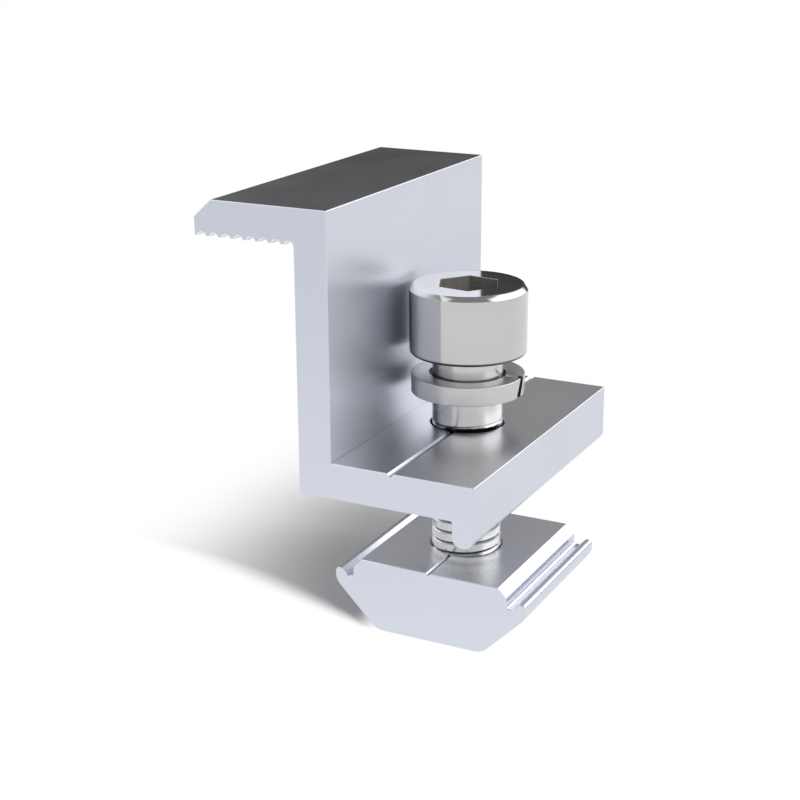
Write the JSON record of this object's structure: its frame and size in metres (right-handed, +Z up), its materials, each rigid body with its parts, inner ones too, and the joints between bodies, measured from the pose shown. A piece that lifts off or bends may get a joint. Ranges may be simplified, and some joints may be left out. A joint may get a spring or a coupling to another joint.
{
  "type": "solar panel end clamp",
  "caption": "End clamp that holds the edge of a framed solar panel down on a rail: Z-shaped body with serrated jaw and foot, socket-head screw, split lock washer and channel nut.",
  "frame": {"origin": "on the screw's axis, at the underside of the clamp's foot, where the foot sits on the rail", "axes": "+Z up along the screw, from the channel nut to the screw's head; +X from the web and jaw towards the foot's free edge; +Y along the extrusions and the rail"},
  "size_m": [0.0343, 0.0374, 0.0493],
  "materials": {
    "clamp_alloy": "satin anodised, fine lines along the extrusion",
    "screw_steel": "bright turned stainless steel",
    "washer_steel": "satin stainless steel",
    "nut_alloy": "satin mill finish, sawn ends"
  },
  "bodies": {
    "clamp_body": {"clamp_body": "clamp_alloy"},
    "cap_screw": {"cap_screw": "screw_steel"},
    "lock_washer": {"lock_washer": "washer_steel"},
    "channel_nut": {"channel_nut": "nut_alloy"}
  },
  "joints": [
    {"name": "screw_turn", "type": "hinge", "parent": "clamp_body", "child": "cap_screw", "pos_m": [0, 0, 0.01212], "axis": [0, 0, 1], "range_deg": [-2160, 1080]},
    {"name": "nut_travel", "type": "slide", "parent": "clamp_body", "child": "channel_nut", "axis": [0, 0, 1], "range_m": [-0.00375, 0.0075]},
    {"name": "washer_slide", "type": "slide", "parent": "clamp_body", "child": "lock_washer", "axis": [0, 0, 1], "range_m": [-0.00368, 0.00225]}
  ],
  "couplings": [
    {"joint": "nut_travel", "follows": "screw_turn", "m_per_rad": -0.00019894}
  ]
}
